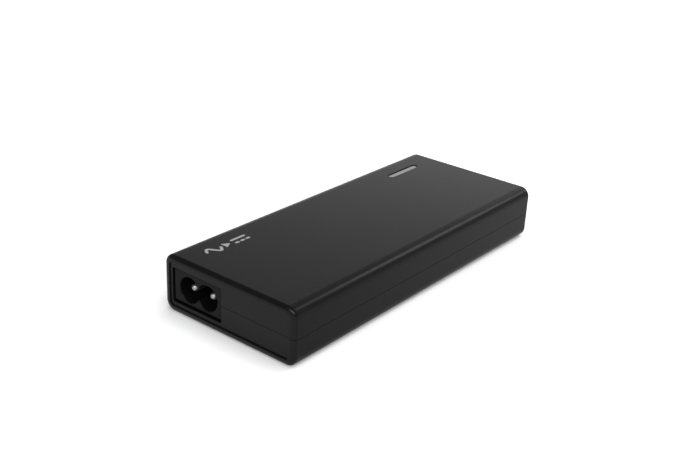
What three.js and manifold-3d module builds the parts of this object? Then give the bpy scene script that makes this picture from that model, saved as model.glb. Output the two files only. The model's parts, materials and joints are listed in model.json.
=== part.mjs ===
// A slim universal laptop power adapter: a two-shell plastic case with a C8 mains inlet at one
// end, a round DC socket at the other, and the power supply that fills it.
//
// Millimetres. +Z is up and +Y runs along the case from the mains inlet to the DC socket.
// The origin is the centre of the underside.

import * as THREE from "three";
import { mergeVertices } from "three/addons/utils/BufferGeometryUtils.js";
import Module from "manifold-3d";

const wasm = await Module();
wasm.setup();

// ---------------------------------------------------------------------------------------------
// Driving dimensions
// ---------------------------------------------------------------------------------------------

const GAP = 0.3; // clearance between neighbouring pieces
const WELD = 0.2; // how far the solids of one moulding reach into each other

// Case, outside.
const CASE_WIDTH = 57;
const CASE_LENGTH = 138;
const CASE_HEIGHT = 20.5;
const LONG_EDGE_RADIUS = 3.7;
const END_FILLET_INWARD = 2.2;
const END_FILLET_DEEP = 1.4;
const END_FACE_INSET = 2.35;
const END_FACE_DEPTH = 0.5;
const END_FACE_RADIUS = 1.6;

// Case, inside.
const WALL = 2;
const SEAM_Z = 10; // a little below mid height
const SEAM_SKIN = 1; // outer part of the wall, where the shells meet edge to edge
const TONGUE_HEIGHT = 1.2;
const LEDGE_YS = [-30, 40];
const LEDGE_WIDTH = 4;
const LEDGE_INNER_X = 24.3;

// Underside label.
const LABEL_WIDTH = 40;
const LABEL_LENGTH = 84;
const LABEL_RADIUS = 1.5;
const LABEL_THICKNESS = 0.2;
const LABEL_RECESS_DEPTH = 0.6;
const LABEL_SHY = 0.1; // how far the label sits above the surface the case stands on

// Sockets. Each stands in a window in an end wall, a little behind the case's end plane.
const SOCKET_SETBACK = 1.04;
const FLANGE_MARGIN = 1;
const FLANGE_THICKNESS = 1.5;
const INLET_WINDOW = { x: -13.93, z: 10.03, width: 22.2, height: 12.4 };
const OUTPUT_WINDOW = { x: 0, z: SEAM_Z, width: 14, height: 12 };

// Mains inlet, C8: two pins on an 8.6 mm pitch in a figure-of-eight recess.
const INLET_X = -13.7;
const INLET_Z = INLET_WINDOW.z;
const INLET_BODY_DEPTH = 18;
const PIN_PITCH = 8.6;
const PIN_RADIUS = 1.2;
const PIN_TIP_SETBACK = 2.75;
const PIN_TAIL = { behind: 2.6, width: 1.6, depth: 1.2 };
const LOBE_PITCH = 8.1;
const LOBE_RADIUS = 4.42;
const NECK_HEIGHT = 4.3;
const RECESS_DEPTH = 11;

// DC output socket, for a round 5.5 by 2.5 mm plug.
const OUTPUT_X = OUTPUT_WINDOW.x;
const OUTPUT_BODY_DEPTH = 17.5;
const OUTPUT_BORE_RADIUS = 3.2;
const OUTPUT_BORE_DEPTH = 10;
const OUTPUT_PIN_RADIUS = 1.25;
const OUTPUT_PIN_SETBACK = 1.5; // behind the socket's face
const OUTPUT_TAIL = { behind: 2.2, width: 1.2, depth: 1 };
const CONTACT_WIDTH = 2;
const CONTACT_BOTTOM = 6.2;

// Power indicator: a light pipe in a slot through the top shell.
const INDICATOR_X = -17.8;
const INDICATOR_Y = 47.7;
const INDICATOR_LENGTH = 17.9;
const INDICATOR_WIDTH = 2.6;
const INDICATOR_SETBACK = 0.35;
const LENS_STEM = { width: 2.6, length: 4, bottom: 12 };

// Circuit board and the layers above and below it.
const BOARD_BOTTOM = 5.2;
const BOARD_TOP = 6.8;
const BOARD_HALF_WIDTH = 25;
const PARTS_BOTTOM = BOARD_TOP + GAP;
const PARTS_TOP = 15.8;
const LEAD_WIDTH = 0.7;
const SHEET_HALF_WIDTH = 23.8;
const SPREADER_THICKNESS = 0.8;
const SHEET_THICKNESS = 0.3;

// Derived heights and planes.
const HALF_WIDTH = CASE_WIDTH / 2;
const HALF_LENGTH = CASE_LENGTH / 2;
const CAVITY_HALF_WIDTH = HALF_WIDTH - WALL;
const CAVITY_HALF_LENGTH = HALF_LENGTH - END_FACE_DEPTH - WALL;
const ROOF_Z = CASE_HEIGHT - WALL;
const PARTS_MIDDLE = (PARTS_BOTTOM + PARTS_TOP) / 2;

// ---------------------------------------------------------------------------------------------
// Materials
// ---------------------------------------------------------------------------------------------

function material(color, roughness, metalness = 0) {
  return new THREE.MeshStandardMaterial({ color, roughness, metalness, flatShading: true });
}

const MATERIALS = {
  casePlastic: material(0x161617, 0.5),
  inletPlastic: material(0x0e0e0f, 0.55),
  nickel: material(0xc9c9c4, 0.25, 1),
  lens: material(0xb9bbbc, 0.4),
  label: material(0x222324, 0.45),
  board: material(0x1d5a33, 0.5),
  glass: material(0xd8e2e2, 0.1),
  ferrite: material(0x35363a, 0.6),
  copper: material(0xb05a2c, 0.35, 1),
  aluminium: material(0xb4b6b8, 0.4, 1),
  moulding: material(0x1b1b1d, 0.5),
  capacitorSleeve: material(0x20262e, 0.4),
  filmYellow: material(0xd4b23a, 0.5),
  varistorBlue: material(0x2b5fa8, 0.45),
  thermistorGreen: material(0x2f5d3a, 0.5),
  bobbinNylon: material(0xd9d2bd, 0.55),
  sheetFilm: material(0xe4dfcf, 0.5),
  padSilicone: material(0x8f9aa6, 0.8),
};

// ---------------------------------------------------------------------------------------------
// Geometry helpers
// ---------------------------------------------------------------------------------------------

// A closed three.js geometry as a manifold-3d solid.
function toSolid(geometry) {
  const bare = geometry.clone();
  bare.deleteAttribute("normal");
  bare.deleteAttribute("uv");
  const merged = mergeVertices(bare);
  const mesh = new wasm.Mesh({
    numProp: 3,
    vertProperties: merged.attributes.position.array,
    triVerts: new Uint32Array(merged.index.array),
  });
  return new wasm.Manifold(mesh);
}

function toGeometry(solid) {
  const mesh = solid.getMesh();
  const indexed = new THREE.BufferGeometry();
  indexed.setAttribute("position", new THREE.BufferAttribute(mesh.vertProperties, 3));
  indexed.setIndex(new THREE.BufferAttribute(mesh.triVerts, 1));
  const flat = indexed.toNonIndexed();
  flat.computeVertexNormals();
  return flat;
}

function join(...solids) {
  return solids.reduce((whole, solid) => whole.add(solid));
}

function cut(solid, ...tools) {
  return tools.reduce((rest, tool) => rest.subtract(tool), solid);
}

// A box from its low and high limits along each axis.
function block([x0, x1], [y0, y1], [z0, z1]) {
  const geometry = new THREE.BoxGeometry(x1 - x0, y1 - y0, z1 - z0);
  geometry.translate((x0 + x1) / 2, (y0 + y1) / 2, (z0 + z1) / 2);
  return toSolid(geometry);
}

// Symmetric limits about a centre.
function about(centre, size) {
  return [centre - size / 2, centre + size / 2];
}

// Limits in rising order, whichever end comes first.
function between(one, other) {
  return [Math.min(one, other), Math.max(one, other)];
}

function roundedRectangle(width, height, radius) {
  const x = width / 2 - radius;
  const y = height / 2 - radius;
  const shape = new THREE.Shape();
  shape.absarc(x, y, radius, 0, Math.PI / 2);
  shape.absarc(-x, y, radius, Math.PI / 2, Math.PI);
  shape.absarc(-x, -y, radius, Math.PI, 1.5 * Math.PI);
  shape.absarc(x, -y, radius, 1.5 * Math.PI, 2 * Math.PI);
  return shape;
}

function disc(radius) {
  const shape = new THREE.Shape();
  shape.absarc(0, 0, radius, 0, 2 * Math.PI);
  return shape;
}

// The outline of a C8 recess: two lobes joined by a neck.
function figureEight(pitch, radius, neckHeight) {
  const turn = Math.asin(neckHeight / 2 / radius);
  const shape = new THREE.Shape();
  shape.absarc(-pitch / 2, 0, radius, turn, 2 * Math.PI - turn);
  shape.absarc(pitch / 2, 0, radius, Math.PI + turn, 3 * Math.PI - turn);
  return shape;
}

function outline(points) {
  return new THREE.Shape(points.map(([x, y]) => new THREE.Vector2(x, y)));
}

const ALONG_X = new THREE.Matrix4().set(0, 0, 1, 0, 1, 0, 0, 0, 0, 1, 0, 0, 0, 0, 0, 1);
const ALONG_Y = new THREE.Matrix4().set(1, 0, 0, 0, 0, 0, -1, 0, 0, 1, 0, 0, 0, 0, 0, 1);

function extrusion(shape, length, curveSegments) {
  return new THREE.ExtrudeGeometry(shape, { depth: length, bevelEnabled: false, curveSegments });
}

// An outline in X and Y, centred on (x, y), extruded from z0 to z1.
function extrudeZ(shape, [x, y], [z0, z1], curveSegments = 6) {
  const geometry = extrusion(shape, z1 - z0, curveSegments);
  geometry.translate(x, y, z0);
  return toSolid(geometry);
}

// An outline in X and Z, centred on (x, z), extruded from y0 to y1.
function extrudeY(shape, [x, z], [y0, y1], curveSegments = 6) {
  const geometry = extrusion(shape, y1 - y0, curveSegments);
  geometry.applyMatrix4(ALONG_Y);
  geometry.translate(x, y1, z);
  return toSolid(geometry);
}

// An outline in Y and Z, centred on (y, z), extruded from x0 to x1.
function extrudeX(shape, [y, z], [x0, x1], curveSegments = 6) {
  const geometry = extrusion(shape, x1 - x0, curveSegments);
  geometry.applyMatrix4(ALONG_X);
  geometry.translate(x0, y, z);
  return toSolid(geometry);
}

// A turned piece from [radius, height] points that start and end on the axis, low end first.
function turned(points, segments = 20) {
  const profile = points.map(([radius, height]) => new THREE.Vector2(radius, height));
  return new THREE.LatheGeometry(profile, segments);
}

const adapter = new THREE.Group();
adapter.name = "laptop_power_adapter";

function addPart(name, solid, finish) {
  const mesh = new THREE.Mesh(toGeometry(solid), finish);
  mesh.name = name;
  adapter.add(mesh);
}

// ---------------------------------------------------------------------------------------------
// Case
// ---------------------------------------------------------------------------------------------

// The whole outside: a rounded bar whose two ends are filleted and then sunk inside a narrow rim.
function caseOutside() {
  const shape = roundedRectangle(
    CASE_WIDTH - 2 * END_FILLET_INWARD,
    CASE_HEIGHT - 2 * END_FILLET_INWARD,
    LONG_EDGE_RADIUS - END_FILLET_INWARD,
  );
  const geometry = new THREE.ExtrudeGeometry(shape, {
    depth: CASE_LENGTH - 2 * END_FILLET_DEEP,
    bevelSize: END_FILLET_INWARD,
    bevelThickness: END_FILLET_DEEP,
    bevelSegments: 5,
    curveSegments: 7,
  });
  geometry.applyMatrix4(ALONG_Y);
  geometry.translate(0, HALF_LENGTH - END_FILLET_DEEP, CASE_HEIGHT / 2);
  const endFace = roundedRectangle(
    CASE_WIDTH - 2 * END_FACE_INSET,
    CASE_HEIGHT - 2 * END_FACE_INSET,
    END_FACE_RADIUS,
  );
  const overrun = 1;
  const inner = HALF_LENGTH - END_FACE_DEPTH;
  const outer = HALF_LENGTH + overrun;
  return cut(
    toSolid(geometry),
    extrudeY(endFace, [0, CASE_HEIGHT / 2], [-outer, -inner]),
    extrudeY(endFace, [0, CASE_HEIGHT / 2], [inner, outer]),
  );
}

function caseCavity() {
  const shape = roundedRectangle(
    CASE_WIDTH - 2 * WALL,
    CASE_HEIGHT - 2 * WALL,
    LONG_EDGE_RADIUS - WALL,
  );
  return extrudeY(shape, [0, CASE_HEIGHT / 2], [-CAVITY_HALF_LENGTH, CAVITY_HALF_LENGTH], 3);
}

// A flat ring that follows the cavity wall, from outset to the cavity, between two heights.
function wallRing(outset, heights) {
  const ring = roundedRectangle(
    2 * (CAVITY_HALF_WIDTH + outset),
    2 * (CAVITY_HALF_LENGTH + outset),
    1 + outset,
  );
  const hole = roundedRectangle(2 * CAVITY_HALF_WIDTH, 2 * CAVITY_HALF_LENGTH, 1);
  return cut(
    extrudeZ(ring, [0, 0], heights, 2),
    extrudeZ(hole, [0, 0], [heights[0] - 1, heights[1] + 1], 2),
  );
}

function windowCut({ x, z, width, height }, side) {
  const limits = between(side * (CAVITY_HALF_LENGTH - 1), side * (HALF_LENGTH + 1));
  return block(about(x, width), limits, about(z, height));
}

const WINDOW_CUTS = [windowCut(INLET_WINDOW, -1), windowCut(OUTPUT_WINDOW, 1)];

// A slice of the whole case between two heights.
function caseSlice(heights) {
  const slice = block([-HALF_WIDTH - 1, HALF_WIDTH + 1], [-HALF_LENGTH - 1, HALF_LENGTH + 1], heights);
  return cut(caseOutside(), caseCavity()).intersect(slice);
}

// The top shell: rebated along the seam, with posts that hold the board down.
function topShell() {
  const seam = SEAM_Z + GAP / 2;
  const rebate = wallRing(WALL - SEAM_SKIN, [seam - 1, seam + TONGUE_HEIGHT]);
  const slot = extrudeZ(
    roundedRectangle(INDICATOR_WIDTH, INDICATOR_LENGTH, INDICATOR_WIDTH / 2),
    [INDICATOR_X, INDICATOR_Y],
    [ROOF_Z - 1, CASE_HEIGHT + 1],
    8,
  );
  const posts = [];
  for (const y of LEDGE_YS) {
    for (const side of [-1, 1]) {
      const limits = between(side * LEDGE_INNER_X, side * (CAVITY_HALF_WIDTH - GAP));
      posts.push(block(limits, about(y, LEDGE_WIDTH), [BOARD_TOP + GAP, ROOF_Z + WELD]));
    }
  }
  return join(cut(caseSlice([seam, CASE_HEIGHT + 1]), rebate, slot, ...WINDOW_CUTS), ...posts);
}

// The bottom shell: a tongue along the seam, ledges under the board and a recess for the label.
function bottomShell() {
  const seam = SEAM_Z - GAP / 2;
  const tongue = wallRing(WALL - SEAM_SKIN - GAP, [seam - WELD, seam + TONGUE_HEIGHT]);
  const labelRecess = extrudeZ(
    roundedRectangle(LABEL_WIDTH + 2 * GAP, LABEL_LENGTH + 2 * GAP, LABEL_RADIUS + GAP),
    [0, 0],
    [-1, LABEL_RECESS_DEPTH],
    4,
  );
  const ledges = [];
  for (const y of LEDGE_YS) {
    for (const side of [-1, 1]) {
      const limits = between(side * LEDGE_INNER_X, side * (CAVITY_HALF_WIDTH + WELD));
      ledges.push(block(limits, about(y, LEDGE_WIDTH), [WALL - WELD, BOARD_BOTTOM - GAP]));
    }
  }
  const shell = join(caseSlice([-1, seam]), tongue, ...ledges);
  return cut(shell, labelRecess, ...WINDOW_CUTS);
}

function ratingLabel() {
  const shape = roundedRectangle(LABEL_WIDTH, LABEL_LENGTH, LABEL_RADIUS);
  return extrudeZ(shape, [0, 0], [LABEL_SHY, LABEL_SHY + LABEL_THICKNESS], 4);
}

// ---------------------------------------------------------------------------------------------
// Sockets
// ---------------------------------------------------------------------------------------------

// A block that fills an end-wall window, with a flange behind the wall and a body inside the case.
function socketBlock({ x, z, width, height }, bodyDepth, side) {
  const face = HALF_LENGTH - SOCKET_SETBACK;
  const flange = CAVITY_HALF_LENGTH - GAP;
  return join(
    block(
      about(x, width - 2 * GAP),
      between(side * face, side * (face - bodyDepth)),
      about(z, height - 2 * GAP),
    ),
    block(
      about(x, width + 2 * FLANGE_MARGIN),
      between(side * flange, side * (flange - FLANGE_THICKNESS)),
      about(z, height + 2 * FLANGE_MARGIN),
    ),
  );
}

function inletHousing() {
  const front = -HALF_LENGTH + SOCKET_SETBACK;
  const floor = front + RECESS_DEPTH;
  const back = front + INLET_BODY_DEPTH;
  const recess = extrudeY(
    figureEight(LOBE_PITCH, LOBE_RADIUS, NECK_HEIGHT),
    [INLET_X, INLET_Z],
    [front - 1, floor],
    16,
  );
  const pinHoles = [-1, 1].map((side) =>
    extrudeY(disc(PIN_RADIUS + GAP), [INLET_X + (side * PIN_PITCH) / 2, INLET_Z], [floor - 1, back + 1]),
  );
  return cut(socketBlock(INLET_WINDOW, INLET_BODY_DEPTH, -1), recess, ...pinHoles);
}

// A round contact pin with a domed tip at the origin, pointing along -Y for side -1 and +Y for 1.
function contactPin(radius, length, side) {
  const dome = [0, 0.3, 0.6, 1].map((t) => {
    const angle = (t * Math.PI) / 2;
    return [radius * Math.sin(angle), -radius * Math.cos(angle)];
  });
  const points = dome.map(([r, h]) => [r, h + radius]);
  points.push([radius, length], [0, length]);
  const geometry = turned(points, 16);
  if (side > 0) geometry.rotateX(Math.PI);
  return geometry;
}

// A mains pin: tip in the recess, shank through the housing, and a tail down to the board.
function inletPin(x) {
  const tip = -HALF_LENGTH + PIN_TIP_SETBACK;
  const tailY = -HALF_LENGTH + SOCKET_SETBACK + INLET_BODY_DEPTH + PIN_TAIL.behind;
  const shank = contactPin(PIN_RADIUS, tailY - tip, -1);
  shank.translate(x, tip, INLET_Z);
  const tail = block(about(x, PIN_TAIL.width), about(tailY, PIN_TAIL.depth), [PARTS_BOTTOM, INLET_Z]);
  return join(toSolid(shank), tail);
}

function outputHousing() {
  const front = HALF_LENGTH - SOCKET_SETBACK;
  const floor = front - OUTPUT_BORE_DEPTH;
  const back = front - OUTPUT_BODY_DEPTH;
  const bore = extrudeY(disc(OUTPUT_BORE_RADIUS), [OUTPUT_X, SEAM_Z], [floor, front + 1], 24);
  const pinHole = extrudeY(disc(OUTPUT_PIN_RADIUS + GAP), [OUTPUT_X, SEAM_Z], [back - 1, floor + 1]);
  const contactSlot = block(
    about(OUTPUT_X, CONTACT_WIDTH + 2 * GAP),
    [back - 1, front - 3],
    [CONTACT_BOTTOM - GAP, SEAM_Z - 2.5],
  );
  return cut(socketBlock(OUTPUT_WINDOW, OUTPUT_BODY_DEPTH, 1), bore, pinHole, contactSlot);
}

function outputPin() {
  const tip = HALF_LENGTH - SOCKET_SETBACK - OUTPUT_PIN_SETBACK;
  const tailY = HALF_LENGTH - SOCKET_SETBACK - OUTPUT_BODY_DEPTH - OUTPUT_TAIL.behind;
  const shank = contactPin(OUTPUT_PIN_RADIUS, tip - tailY, 1);
  shank.translate(OUTPUT_X, tip, SEAM_Z);
  const tailAcross = about(OUTPUT_X, OUTPUT_TAIL.width);
  const tail = block(tailAcross, about(tailY, OUTPUT_TAIL.depth), [PARTS_BOTTOM, SEAM_Z]);
  return join(toSolid(shank), tail);
}

// The leaf that touches the outside of the plug, below the bore.
function outputContact() {
  const front = HALF_LENGTH - SOCKET_SETBACK;
  const back = front - OUTPUT_BODY_DEPTH;
  const across = about(OUTPUT_X, CONTACT_WIDTH);
  const leaf = block(across, [back - 0.9, front - 4], [CONTACT_BOTTOM, CONTACT_BOTTOM + 0.5]);
  const bump = block(across, [front - 7, front - 5.5], [CONTACT_BOTTOM, CONTACT_BOTTOM + 1]);
  return join(leaf, bump);
}

// ---------------------------------------------------------------------------------------------
// Indicator
// ---------------------------------------------------------------------------------------------

// The light pipe: a bar in the slot, a flange under the roof and a stem down to the LED.
function indicatorLens() {
  const bar = roundedRectangle(
    INDICATOR_WIDTH - 2 * GAP,
    INDICATOR_LENGTH - 2 * GAP,
    INDICATOR_WIDTH / 2 - GAP,
  );
  const flange = roundedRectangle(INDICATOR_WIDTH + 2, INDICATOR_LENGTH + 2, INDICATOR_WIDTH / 2);
  const centre = [INDICATOR_X, INDICATOR_Y];
  const flangeTop = ROOF_Z - GAP;
  return join(
    extrudeZ(bar, centre, [flangeTop - 0.5, CASE_HEIGHT - INDICATOR_SETBACK], 8),
    extrudeZ(flange, centre, [flangeTop - 1, flangeTop], 4),
    block(
      about(INDICATOR_X, LENS_STEM.width),
      about(INDICATOR_Y, LENS_STEM.length),
      [LENS_STEM.bottom, flangeTop - 0.5],
    ),
  );
}

// A round 3 mm LED with its collar and two leads.
function indicatorLed() {
  const radius = 1.5;
  const dome = [0, 1, 2, 3].map((step) => {
    const angle = (step * Math.PI) / 6;
    return [radius * Math.cos(angle), 10.1 + radius * Math.sin(angle)];
  });
  const geometry = turned([[0, 8], [1.9, 8], [1.9, 8.8], [radius, 8.8], ...dome], 16);
  geometry.rotateX(Math.PI / 2);
  geometry.translate(INDICATOR_X, INDICATOR_Y, 0);
  const leads = [-1, 1].map((side) =>
    block(about(INDICATOR_X + side * 1.27, 0.5), about(INDICATOR_Y, 0.5), [PARTS_BOTTOM, 8.2]),
  );
  return join(toSolid(geometry), ...leads);
}

// ---------------------------------------------------------------------------------------------
// Board and layers
// ---------------------------------------------------------------------------------------------

// The board, notched for both sockets and for the two bulk capacitors that lie through it.
function mainBoard() {
  const edge = BOARD_HALF_WIDTH;
  const shape = outline([
    [-1.5, -64],
    [edge, -64],
    [edge, 62],
    [9, 62],
    [9, 49],
    [-9, 49],
    [-9, 62],
    [-edge, 62],
    [-edge, 26.6],
    [-0.8, 26.6],
    [-0.8, -5.6],
    [-edge, -5.6],
    [-edge, -48.5],
    [-1.5, -48.5],
  ]);
  return extrudeZ(shape, [0, 0], [BOARD_BOTTOM, BOARD_TOP]);
}

function layer(bottom, thickness, [y0, y1]) {
  const shape = roundedRectangle(2 * SHEET_HALF_WIDTH, y1 - y0, 2);
  return extrudeZ(shape, [0, (y0 + y1) / 2], [bottom, bottom + thickness], 2);
}

// ---------------------------------------------------------------------------------------------
// Board parts
// ---------------------------------------------------------------------------------------------

// Round leads under a part, at [x, y] places, from the board up into it.
function leads(places, top) {
  return places.map(([x, y]) => block(about(x, LEAD_WIDTH), about(y, LEAD_WIDTH), [PARTS_BOTTOM, top]));
}

// A boxed film capacitor standing on two leads.
function filmCapacitor([x, y], [width, length], height) {
  const bottom = PARTS_BOTTOM + 0.6;
  const shape = roundedRectangle(width, length, 0.8);
  return join(
    extrudeZ(shape, [x, y], [bottom, bottom + height], 2),
    ...leads([[x - width / 3, y], [x + width / 3, y]], bottom + 0.2),
  );
}

// A coated disc standing on edge across the case, on two leads.
function discPart([x, y], radius, thickness) {
  const profile = [[0, 0], [radius - 0.6, 0], [radius, 0.6], [radius, thickness - 0.6]];
  profile.push([radius - 0.6, thickness], [0, thickness]);
  const geometry = turned(profile);
  geometry.translate(x, y - thickness / 2, PARTS_TOP - radius);
  const feet = [[x - radius / 2, y], [x + radius / 2, y]];
  return join(toSolid(geometry), ...leads(feet, PARTS_TOP - radius));
}

// A sleeved electrolytic can with the rolled groove near its base; the base is at height 0.
function canGeometry(radius, height) {
  return turned([
    [0, 0],
    [radius - 0.5, 0],
    [radius, 0.5],
    [radius, 1.6],
    [radius - 0.5, 2.2],
    [radius, 2.8],
    [radius, height - 0.6],
    [radius - 0.6, height],
    [0, height],
  ]);
}

function lyingCan([x, y0], radius, length) {
  const geometry = canGeometry(radius, length);
  geometry.translate(x, y0, 10.1);
  return toSolid(geometry);
}

function standingCan([x, y], radius) {
  const geometry = canGeometry(radius, PARTS_TOP - PARTS_BOTTOM - 0.4);
  geometry.rotateX(Math.PI / 2);
  geometry.translate(x, y, PARTS_BOTTOM);
  return toSolid(geometry);
}

// A flat four-lead bridge rectifier.
function bridgeRectifier([x, y], [width, length]) {
  const places = [-0.36, -0.12, 0.12, 0.36].map((share) => [x + share * width, y - length / 2 + 1]);
  const shape = roundedRectangle(width, length, 1);
  return join(
    extrudeZ(shape, [x, y], [PARTS_BOTTOM + 0.6, PARTS_BOTTOM + 4.4], 2),
    ...leads(places, PARTS_BOTTOM + 1),
  );
}

// A three-lead power package whose tab faces a heat sink at higher x.
function powerPackage([x, y]) {
  const places = [-2.54, 0, 2.54].map((shift) => [x, y + shift]);
  const body = outline([[-5, 0], [5, 0], [5, 5.4], [4.4, 6], [-4.4, 6], [-5, 5.4]]);
  return join(
    extrudeX(body, [y, PARTS_BOTTOM + 0.9], about(x, 4.2)),
    ...leads(places, PARTS_BOTTOM + 1.1),
  );
}

// An upright aluminium plate with two feet and a folded top edge.
function heatSink(x, [y0, y1]) {
  const profile = outline([
    [0, 0],
    [1.5, 0],
    [1.5, PARTS_TOP - PARTS_BOTTOM],
    [-1.6, PARTS_TOP - PARTS_BOTTOM],
    [-1.6, PARTS_TOP - PARTS_BOTTOM - 1.2],
    [0, PARTS_TOP - PARTS_BOTTOM - 1.2],
  ]);
  const plate = extrudeY(profile, [x, PARTS_BOTTOM], [y0, y1]);
  const clearance = block([x - 1, x + 2], [y0 + 4, y1 - 4], [PARTS_BOTTOM - 1, PARTS_BOTTOM + 1]);
  return cut(plate, clearance);
}

function ringSector(outer, inner, from, to) {
  const shape = new THREE.Shape();
  shape.absarc(0, 0, outer, from, to);
  shape.absarc(0, 0, inner, to, from, true);
  return shape;
}

function ringSolid([x, y], outer, inner, heights) {
  return cut(
    extrudeZ(disc(outer), [x, y], heights, 24),
    extrudeZ(disc(inner), [x, y], [heights[0] - 1, heights[1] + 1], 24),
  );
}

const WINDING_BUILD = 1.1; // how far a toroid's winding stands off its core

function toroidCore(centre, outer, inner, height) {
  return ringSolid(centre, outer, inner, about(PARTS_MIDDLE, height));
}

// A winding over part of a toroid, as one sleeve that clears the core all round.
function toroidWinding(centre, outer, inner, height, from, to) {
  const build = WINDING_BUILD + GAP;
  const sleeve = extrudeZ(
    ringSector(outer + build, inner - build, from, to),
    centre,
    about(PARTS_MIDDLE, height + 2 * build),
    16,
  );
  return cut(sleeve, ringSolid(centre, outer + GAP, inner - GAP, about(PARTS_MIDDLE, height + 2 * GAP)));
}

// A flat ferrite core in two E-shaped halves around a bobbin, and the winding on the bobbin.
function addWoundCore(name, [x, y], [width, length]) {
  const height = PARTS_TOP - PARTS_BOTTOM;
  const back = 3;
  const leg = 2.6;
  const centreLeg = { width: width * 0.32, height: 3.2 };
  const tubeWall = 0.7;
  const windowHalf = length / 2 - back - GAP;
  const tube = {
    inner: [centreLeg.width + 2 * GAP, centreLeg.height + 2 * GAP],
    outer: [centreLeg.width + 2 * (GAP + tubeWall), centreLeg.height + 2 * (GAP + tubeWall)],
  };
  const windingWidth = width - 2 * leg - 2 * GAP;

  for (const [side, suffix] of [[-1, "front"], [1, "rear"]]) {
    const span = (near, far) => between(y + side * near, y + side * far);
    const legs = [-1, 1].map((edge) =>
      block(
        about(x + edge * (width / 2 - leg / 2), leg),
        span(GAP / 2, length / 2),
        about(PARTS_MIDDLE, height),
      ),
    );
    const yoke = block(
      about(x, width),
      span(length / 2 - back, length / 2),
      about(PARTS_MIDDLE, height),
    );
    const tongue = block(
      about(x, centreLeg.width),
      span(GAP / 2, length / 2 - 1),
      about(PARTS_MIDDLE, centreLeg.height),
    );
    addPart(`${name}_core_${suffix}`, join(yoke, tongue, ...legs), MATERIALS.ferrite);
  }

  const flange = (near) =>
    block(
      about(x, windingWidth),
      [near, near + 0.9],
      about(PARTS_MIDDLE, height - 0.4),
    );
  const bobbin = join(
    block(about(x, tube.outer[0]), about(y, 2 * windowHalf), about(PARTS_MIDDLE, tube.outer[1])),
    flange(y - windowHalf),
    flange(y + windowHalf - 0.9),
  );
  const tunnel = block(
    about(x, tube.inner[0]),
    about(y, length),
    about(PARTS_MIDDLE, tube.inner[1]),
  );
  addPart(`${name}_bobbin`, cut(bobbin, tunnel), MATERIALS.bobbinNylon);

  const windingLength = 2 * (windowHalf - 0.9 - GAP);
  const coil = extrudeY(
    roundedRectangle(windingWidth, height - 0.8, 1.2),
    [x, PARTS_MIDDLE],
    about(y, windingLength),
    3,
  );
  const former = block(
    about(x, tube.outer[0] + 2 * GAP),
    about(y, windingLength + 2),
    about(PARTS_MIDDLE, tube.outer[1] + 2 * GAP),
  );
  addPart(`${name}_winding`, cut(coil, former), MATERIALS.copper);
}

// A small chip with two rows of leads.
function chip([x, y], [width, length], height, rows) {
  const body = block(about(x, width), about(y, length), [PARTS_BOTTOM + 0.2, PARTS_BOTTOM + height]);
  const feet = [];
  for (let row = 0; row < rows; row += 1) {
    const place = y + length * ((row + 0.5) / rows - 0.5);
    feet.push(block(about(x, width + 2), about(place, 0.5), [PARTS_BOTTOM, PARTS_BOTTOM + 0.4]));
  }
  return join(body, ...feet);
}

// A glass cartridge fuse along the case, as a tube and two caps.
function addFuse([x, y], length) {
  const tubeRadius = 2.2;
  const capRadius = 2.9;
  const z = PARTS_BOTTOM + capRadius + 0.1;
  const tube = extrudeY(disc(tubeRadius), [x, z], about(y, length), 16);
  addPart("fuse_tube", tube, MATERIALS.glass);
  for (const [side, suffix] of [[-1, "front"], [1, "rear"]]) {
    const outer = y + side * (length / 2 + 0.8);
    const inner = y + side * (length / 2 - 5);
    const cap = cut(
      extrudeY(disc(capRadius), [x, z], between(outer, inner), 16),
      extrudeY(disc(tubeRadius + GAP), [x, z], between(y + side * (length / 2 + GAP), inner - side), 16),
    );
    const leadY = outer - side * 0.5;
    const lead = block(
      about(x, LEAD_WIDTH),
      about(leadY, LEAD_WIDTH),
      [PARTS_BOTTOM, z - capRadius + GAP],
    );
    addPart(`fuse_cap_${suffix}`, join(cap, lead), MATERIALS.nickel);
  }
}

// ---------------------------------------------------------------------------------------------
// Assembly
// ---------------------------------------------------------------------------------------------

function addCase() {
  addPart("top_shell", topShell(), MATERIALS.casePlastic);
  addPart("bottom_shell", bottomShell(), MATERIALS.casePlastic);
  addPart("rating_label", ratingLabel(), MATERIALS.label);
}

function addSockets() {
  addPart("inlet_housing", inletHousing(), MATERIALS.inletPlastic);
  addPart("inlet_pin_line", inletPin(INLET_X - PIN_PITCH / 2), MATERIALS.nickel);
  addPart("inlet_pin_neutral", inletPin(INLET_X + PIN_PITCH / 2), MATERIALS.nickel);
  addPart("output_socket_housing", outputHousing(), MATERIALS.inletPlastic);
  addPart("output_socket_pin", outputPin(), MATERIALS.nickel);
  addPart("output_socket_contact", outputContact(), MATERIALS.nickel);
}

function addIndicator() {
  addPart("indicator_lens", indicatorLens(), MATERIALS.lens);
  addPart("indicator_led", indicatorLed(), MATERIALS.lens);
}

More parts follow.
